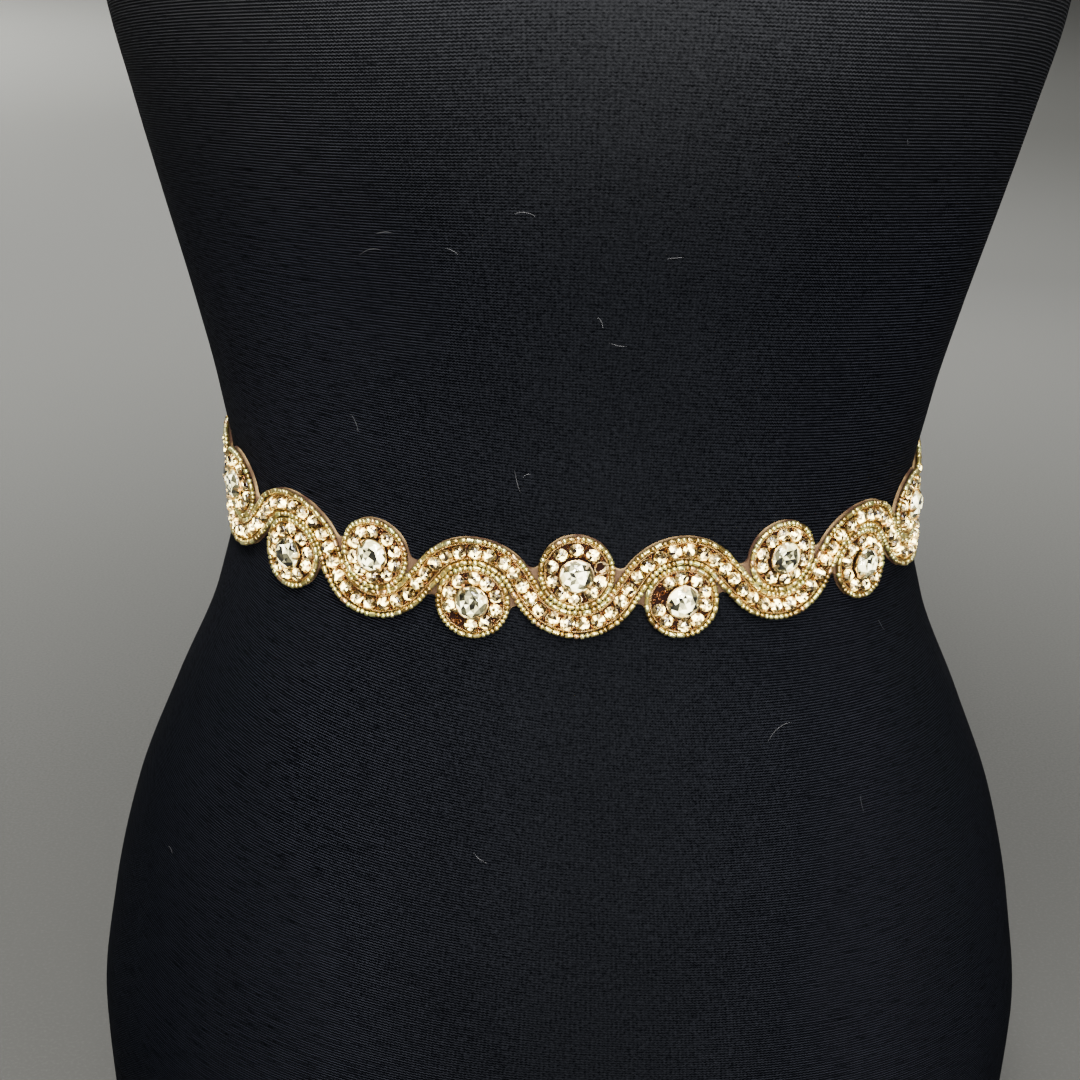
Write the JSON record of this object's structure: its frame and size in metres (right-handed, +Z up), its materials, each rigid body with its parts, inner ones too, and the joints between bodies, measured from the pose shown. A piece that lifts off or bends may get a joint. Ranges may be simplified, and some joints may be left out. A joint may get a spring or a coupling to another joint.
{
  "type": "bridal sash on dress form",
  "caption": "Wavy beaded and crystal bridal sash with round rosettes and satin ribbon ties, worn at the waist of a black limbless dress form.",
  "frame": {"origin": "on the surface it stands on, under the middle of the dress form", "axes": "+Z up, -Y towards the front of the form, +X to the right as seen from the front"},
  "size_m": [0.3556, 0.2493, 0.7473],
  "materials": {
    "jersey": "matt black fine-rib knit jersey",
    "cap": "satin black",
    "backing_cloth": "matt rose-beige organza over felt",
    "small_stones": "faceted clear rhinestones with foiled backs in rose-gold claws",
    "beads": "gold-lined seed and bugle beads",
    "settings": "polished rose gold with clear stones",
    "crystals": "faceted clear crystal with a foiled back in a rose-gold cup",
    "ribbon_satin": "blush satin"
  },
  "bodies": {
    "root": {"form": "jersey", "neck_cap": "cap", "backing": "backing_cloth", "stone_chain": "small_stones", "bead_row_upper": "beads", "bead_row_lower": "beads", "rosette_01": "settings", "rosette_02": "settings", "rosette_03": "settings", "rosette_04": "settings", "rosette_05": "settings", "rosette_06": "settings", "rosette_07": "settings", "rosette_08": "settings", "rosette_09": "settings", "rosette_10": "settings", "rosette_11": "settings", "crystal_01": "crystals", "crystal_02": "crystals", "crystal_03": "crystals", "crystal_04": "crystals", "crystal_05": "crystals", "crystal_06": "crystals", "crystal_07": "crystals", "crystal_08": "crystals", "crystal_09": "crystals", "crystal_10": "crystals", "crystal_11": "crystals", "ribbon_left": "ribbon_satin", "ribbon_right": "ribbon_satin", "knot": "ribbon_satin", "tail_left": "ribbon_satin", "tail_right": "ribbon_satin"}
  },
  "joints": []
}
